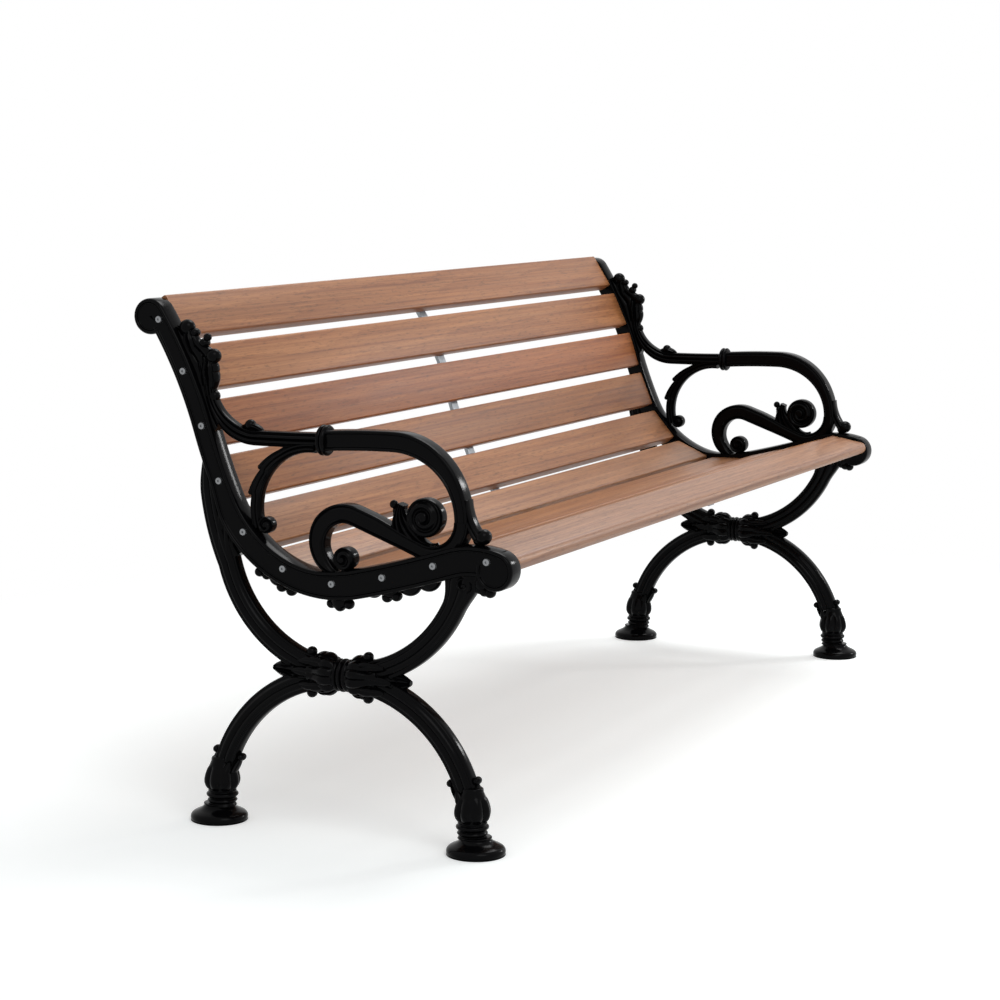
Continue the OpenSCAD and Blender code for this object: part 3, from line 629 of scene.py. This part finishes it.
# A fluted strap runs down the front of the arm's foot, to two balls at the nose.
foot_end = arm_front[-1]
strap_points, strap_headings = arc_run([(-90, 38)], foot_end + (-6, 34), -90, 2.0)
along = np.linspace(0, 1, len(strap_points))
strap = bar(strap_points, strap_headings,
            fluted_section(9 + 8 * along, 25 + 2 * along, ribs=2, cut=0.2))
scrolls = [volute(SCROLL_C, SCROLL_R - 1, ARM_T + 2, 2.3, 250, -1), shell,
           volute(HOOK_BALL + (-5, 0), HOOK_BALL_R, BAND_T + 3, 1.3, 200, 1),
           lump(SCROLL_C + (55, 16), 6.6), lump(SCROLL_C + (50, 7), 6, deep=1.5),
           leaf([(60, 30)], SCROLL_C + (46, -18), 74, 15, 20, 2, 2, full_at=1.3),
           strap, lump(foot_end + (-32, -20), 12, deep=1.2),
           lump(foot_end + (-25, -25), 9, deep=1.3)]
casting("scrolls", scrolls, iron_paint)

# ---- Leafwork cast on the rails, the arms and the crossing ----
# A crest of fluted leaves on the front of the back, buds and berries along the underside of
# the seat rail, curls on the brace, and leaves that clasp the crossing and the ankles.

# The crest's outer line: (along the rail, out from its middle)
CREST = np.array([(376, 16), (388, 25), (400, 34), (416, 44), (430, 55), (442, 60), (452, 57),
                  (463, 49), (472, 44), (482, 43), (492, 42), (501, 36), (507, 24)])
crest_s = np.linspace(CREST[0, 0], CREST[-1, 0], 60)
crest_out = np.interp(crest_s, *CREST.T)
crest_body = fluted_web(np.array([on_rail(s, 13)[0] for s in crest_s]),
                        np.array([on_rail(s, out)[0] for s, out in zip(crest_s, crest_out)]),
                        22 - 9 * np.abs(crest_s - 450) / 70, ribs=3, cut=0.4)


def beside_rail(run, s, out, lean, *shape, **more):
    """A leaf that sets out from a place on the rail, leaning from the rail's own heading."""
    point, heading = on_rail(s, out)
    return leaf(run, point, heading + lean, *shape, **more)


# Its leaves, and then the lumps at their tips: (along the rail, out from its middle, radius, deep)
CREST_LUMPS = [(442, 55, 11.8, 1.1), (470, 58, 6.4, 1.1), (465, 50, 7.6, 1.4),
               (498, 33, 12.5, 1.05), (485, 42, 7, 1.5), (388.5, 31, 9.5, 1.1)]
crest = [crest_body, beside_rail([(-170, 20), (26, 30)], 380, 20, 32, 27, 31, 3, 3, full_at=1.7),
         beside_rail([(-300, 8), (30, 34)], 440, 23, 13, 24, 28, lobes=2, ribs=3, full_at=1.7),
         beside_rail([(-200, 14)], 420, 24, 32, 16, 24, lobes=3, ribs=2)]
crest += [lump(on_rail(s, out)[0], size, deep=deep) for s, out, size, deep in CREST_LUMPS]

# Along the rail: place, distance below its middle, and radius. The last ones are the broad
# lobes that the berries grow from. None reaches past 13.5 mm from the casting's middle plane.
DROPS = [(119.6, 30, 8), (108.6, 27, 7.5), (81.1, 29, 8.5), (65.6, 27.5, 8.5), (2.5, 29, 8),
         (-10, 32.5, 8.6), (-23.6, 30, 8), (-87.2, 28, 8.2), (-103.3, 29, 8.4), (-245.7, 37, 9),
         (-258, 41.5, 8.6), (-270, 44, 8.4), (-284, 43.5, 8.4),
         (-130, 13, 21), (-163, 12, 22), (92, 17, 16), (-10, 24, 15), (-96, 17, 16), (-68, 10, 16),
         (42, 10, 16), (130, 14, 14), (-262, 33, 13)]
drops = [lump(on_rail(s, -below)[0], size, deep=min(1.25, 13.5 / size))
         for s, below, size in DROPS]
# A volute tops the front limb, where it meets the rail.
limb_top = on_rail(-226.1, -35.8)[0]
drops += [volute(limb_top, 13.5, LIMB_T + 6, 1.2, 90, cut=0.45), lump(limb_top, 5, deep=3.6)]

# A bud on the arm's rear end, a volute at the brace's foot, and a berry at each of its leaf tips
bud = curl_points[np.searchsorted(STEP * np.arange(len(curl_points)), 137)]
brace_foot = brace_points[0] + (BRACE_W / 2 + 4) * left(brace_headings[0])
buds = [lump(bud + (-7, 17), 8.6, deep=1.15),
        leaf([(40, 60)], bud + (9, 12), 158, 12, 20, lobes=1),
        volute(brace_foot, 13, BRACE_T + 8, 1.1, 0, cut=0.5),
        lump(brace_foot + (-4, 0), 7, deep=1.9)]
for i in [int(tip / STEP) for tip in BRACE_TIPS]:
    buds.append(lump(brace_points[i] - (BRACE_W / 2 + 2) * left(brace_headings[i]), 5, deep=1.6))
casting("leafwork", crest + drops + buds, iron_paint, sharp=50)

# The crossing: a girdle of three rings, a fluted bulb on each side of it, and leaves from under
# the girdle along the limbs, with berries between their tips
CALYX_Y = -1
GIRDLE = [(0.1, -12), (21, -12), (24, -11), (25.2, -8.5), (24, -6), (21.4, -5), (22, -3.6),
          (25, -2.2), (25.8, 0), (25, 2.2), (22, 3.6), (21.4, 5), (24, 6), (25.2, 8.5),
          (24, 11), (21, 12), (0.1, 12)]
BULB = [(0.1, 10), (21, 10), (25, 15), (27.4, 22), (26.4, 31), (22.5, 40), (19, 48), (17, 60),
        (0.1, 62)]
crossing = [laid((CALYX_Y, CROSS_Z), smooth_profile(GIRDLE, 90))]
for way in (-1, 1):
    bulb = laid((0, CROSS_Z), smooth_profile(BULB, 60), 10, 0.09, 10, 56)
    crossing.append(bulb * (way, 1, 1) + (CALYX_Y, 0, 0))
    tip = 90 - 90 * way
    crossing.append(leaf([(2000, 2.5)], (4 + way * 32, CROSS_Z), tip, 44, 33, 4, 6, 0.62))
    for face in (-1, 1):
        crossing.append(leaf([(900, 4.6)], (CALYX_Y + way * 14, CROSS_Z), tip, 20, 12, 3, 1, 0.8,
                             face * 16, -face * 3))
        for up in (-1, 1):
            crossing += [leaf([(-way * up * 150, 24)], (CALYX_Y + way * 12, CROSS_Z + up * 12),
                              tip + way * up * 18, 17, 12, 3, 1, 0.9, face * 14, -face * 1),
                         lump((CALYX_Y + way * 84, CROSS_Z + up * 7), 5, face * 7)]
    for up in (-1, 1):
        crossing += [lump((CALYX_Y + 8 + way * 49, CROSS_Z + up * 32), 8, deep=1.2),
                     leaf([(-way * up * 60, 34)], (CALYX_Y + way * 14, CROSS_Z + up * 20),
                          tip + way * up * 24, 21, 30, 2, 3, 0.9)]

# Each ankle: leaves that stand up from the belly of the vase and curl over into balls
ankles = []
for side in (-1, 1):
    for out in (-1, 1):
        ball = np.array([side * 205 + out * 22, 109 + out * side * 4.5])
        root = np.array([side * (FOOT_SPAN / 2 - FOOT_IN) + out * 17, 68])
        leans = np.degrees(np.arctan2(*(ball - root)[::-1]))
        ankles += [lump(ball, 6.2, deep=1.6),
                   leaf([(-out * 90, 26)], root, leans + out * 13, 12, 24, 1, 2, 1.2)]
        ankles += [leaf([(side * 300, 7)], (side * 219 + out * 9, 62), 90 + side * 16, 14, 10,
                        2, 1, 0.9, face * 18, -face * 6) for face in (-1, 1)]
casting("clasping_leaves", crossing + ankles, iron_paint, sharp=50)

# ---- Slats ----
# Ten planed boards of oiled tropical hardwood, with their long edges eased. The front one has
# a full round nose. Each board is cut from its own place in the log.
SLATS, FIRST_SLAT, SLAT_PITCH = 10, -272, 89
SLAT_W, SLAT_T, SLAT_LIFT, EDGE_R = 72, 23, 3, 3.2
SLAT_L, END_EASE = SPAN - RAIL_T, 0.8


def corner(x, y, radius, from_deg, to_deg, count=7):
    """Points of a round corner about (x, y)."""
    angle = np.radians(np.linspace(from_deg, to_deg, count))
    return np.stack([x + radius * np.cos(angle), y + radius * np.sin(angle)], axis=-1)


def slat_outline(front):
    """Closed outline across a board: its lower edge at -x, its upper edge at +x, its face at +y.
    The front board's lower edge is a half circle."""
    w, t, r = SLAT_W / 2, SLAT_T / 2, EDGE_R
    upper = [corner(w - r, r - t, r, -90, 0), corner(w - r, t - r, r, 0, 90)]
    if front:
        lower = [corner(t - w - r, 0, t, 90, 270, 21)]
    else:
        lower = [corner(r - w, t - r, r, 90, 180), corner(r - w, r - t, r, 180, 270)]
    return np.vstack(upper + lower)


def hardwood(number, centre, heading):
    """Oiled hardwood, planed smooth: long straight growth streaks that wander a little and open
    into cathedral arches, short dark pores, and a soft satin shine along the grain. Pores are
    finer than half a millimetre and are drawn 3 mm wide and 25 mm long, so that they show."""
    material, nodes = empty_material(f"oiled hardwood {number + 1}")
    rng = np.random.default_rng(40 + number)
    where = add(nodes, "TexCoord").outputs["Object"]
    from_middle = add(nodes, "VectorMath", {0: where, 1: centre}, operation="SUBTRACT")
    board = add(nodes, "Mapping", {"Vector": from_middle, "Rotation": (-heading, 0, 0)})
    log = add(nodes, "VectorMath", {0: board, 1: (rng.uniform(-9, 9), rng.uniform(-0.03, 0.03),
                                                  rng.uniform(0.03, 0.09))}, operation="ADD")

    def streaks(scale, detail, roughness=0.5):
        """Noise drawn out along the board, with so many waves per metre each way."""
        drawn = add(nodes, "VectorMath", {0: log, 1: scale}, operation="MULTIPLY")
        return add(nodes, "TexNoise", {"Vector": drawn, "Scale": 1, "Detail": detail,
                                       "Roughness": roughness})

    wander = streaks((1.3, 6, 6), 3)
    bend = add(nodes, "VectorMath", {0: wander.outputs["Color"], 1: (0, 0.07, 0.07), 2: log},
               operation="MULTIPLY_ADD")
    flat = add(nodes, "VectorMath", {0: bend, 1: (0.04, 1, 1)}, operation="MULTIPLY")
    rings = add(nodes, "TexWave", {"Vector": flat, "Scale": 26, "Distortion": 1.6, "Detail": 3,
                                   "Detail Scale": 14},
                wave_type="RINGS", rings_direction="X", wave_profile="SAW")
    fibres = streaks((6, 420, 420), 5, 0.65)
    lines = streaks((1.4, 170, 170), 5, 0.62)
    bands = streaks((0.7, 20, 20), 3)
    pores = streaks((40, 330, 330), 3, 0.7)
    tones = []
    for value, ends, at in ((rings.outputs["Fac"], ("976240", "774429"), (0.2, 1.0)),
                            (lines, ("724227", "a36f48"), (0.33, 0.62))):
        tones.append(add(nodes, "ValToRGB", {"Fac": value}))
        for stop, end, place in zip(tones[-1].color_ramp.elements, ends, at):
            stop.color, stop.position = colour(end), place
    mixed = add(nodes, "Mix", {0: 0.6, 6: tones[0], 7: tones[1]}, data_type="RGBA")
    gentle = {"From Min": 0.3, "From Max": 0.7, "To Min": 0.88, "To Max": 1.12}
    broad = add(nodes, "MapRange", {"Value": bands, **gentle})
    fine = add(nodes, "MapRange", {"Value": fibres, **gentle})
    pore = add(nodes, "MapRange", {"Value": pores, "From Min": 0.33, "From Max": 0.47,
                                   "To Min": 0.66, "To Max": 1.04})
    shade = add(nodes, "Math", {0: broad, 1: pore}, operation="MULTIPLY")
    shade = add(nodes, "Math", {0: shade, 1: fine}, operation="MULTIPLY")
    tint = add(nodes, "VectorMath", {0: mixed.outputs[2], "Scale": shade}, operation="SCALE")
    # Each board has a tone of its own. The front one is greyer and a little yellower: painted
    # sheen of the light on its nose.
    front = number == 0
    own = add(nodes, "HueSaturation", {
        "Color": tint, "Hue": 0.5 + rng.uniform(-0.005, 0.006) + 0.008 * front,
        "Saturation": rng.uniform(0.94, 1.08) - 0.14 * front, "Value": rng.uniform(0.94, 1.06)})
    height = add(nodes, "Math", {0: fibres, 1: pore}, operation="MULTIPLY")
    relief = add(nodes, "Bump", {"Height": height, "Strength": 0.35, "Distance": 0.0005})
    dull = add(nodes, "MapRange", {"Value": fibres, "To Min": 0.36, "To Max": 0.54})
    oil = add(nodes, "BsdfPrincipled", {"Base Color": own, "Roughness": dull, "IOR": 1.46,
                                        "Normal": relief})
    add(nodes, "OutputMaterial", {0: oil})
    return material


def board_grid(outline, point, heading):
    """A board's outline carried between the castings, with each end's edges eased: the last
    part of its length draws in by as much as it is long."""
    reach = np.linalg.norm(outline, axis=1, keepdims=True)
    along = np.array([np.cos(heading), np.sin(heading)])
    rings = []
    for end, less in ((-1, END_EASE), (-1, 0), (1, 0), (1, END_EASE)):
        ring = outline * (1 - less / reach)
        flat = point + ring[:, :1] * along + ring[:, 1:] * left(heading)
        x = np.full(len(flat), end * (SLAT_L / 2 - END_EASE + less))
        rings.append(np.column_stack([x, flat[:, 0] - MIDDLE_Y, flat[:, 1]]))
    return np.array(rings)


for i in range(SLATS):
    node = f"seat_slat_{i + 1}" if i < 5 else f"back_slat_{i - 4}"
    point, degrees = on_rail(FIRST_SLAT + i * SLAT_PITCH, SLAT_LIFT)
    heading = np.radians(degrees)
    wood = hardwood(i, (0, (point[0] - MIDDLE_Y) * MM, point[1] * MM), heading)
    board = closed_piece(f"board_{i + 1}", *skin(board_grid(slat_outline(i == 0), point, heading)),
                         wood, 35)
    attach(board, "root")
    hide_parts(node)

# ---- Strap and screws ----
# A zinc-coated steel strap follows the boards' rear faces at mid length, held by button-head
# screws. Stainless screws with hexagon sockets pass through each casting into zinc-coated
# threaded inserts in the boards' ends.


def dull_steel(name, hex_value, roughness):
    """Steel with a dull coat: a crystalline mottle of 4 mm changes its brightness, and clouds
    of 11 mm change its gloss and blur what it reflects."""
    material, nodes = empty_material(name)
    where = add(nodes, "TexCoord").outputs["Object"]
    mottle = add(nodes, "TexVoronoi", {"Vector": where, "Scale": 260})
    cloud = add(nodes, "TexNoise", {"Vector": where, "Scale": 90, "Detail": 4})
    both = add(nodes, "Math", {0: mottle, 1: cloud}, operation="MULTIPLY")
    tone = add(nodes, "ValToRGB", {"Fac": both})
    light = colour(hex_value)
    tone.color_ramp.elements[0].color = light
    tone.color_ramp.elements[1].color = (*(0.72 * c for c in light[:3]), 1)
    gloss = add(nodes, "MapRange", {"Value": cloud, "To Min": roughness - 0.08,
                                    "To Max": roughness + 0.08})
    coat = add(nodes, "Bump", {"Height": cloud, "Strength": 0.1, "Distance": 0.0004})
    steel = add(nodes, "BsdfPrincipled", {"Base Color": tone, "Roughness": gloss, "Metallic": 1,
                                          "Normal": coat})
    add(nodes, "OutputMaterial", {0: steel})
    return material


zinc = dull_steel("hot-dip zinc on steel", "8c9094", 0.45)
stainless = dull_steel("tumbled stainless steel", "8a8c8e", 0.36)
for finish, names in (
        (zinc, ("centre_strap", "strap_screws", "slat_inserts_left", "slat_inserts_right")),
        (stainless, ("end_screws_left", "end_screws_right"))):
    for name in names:
        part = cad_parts[name]
        part.data.materials.clear()
        part.data.materials.append(finish)
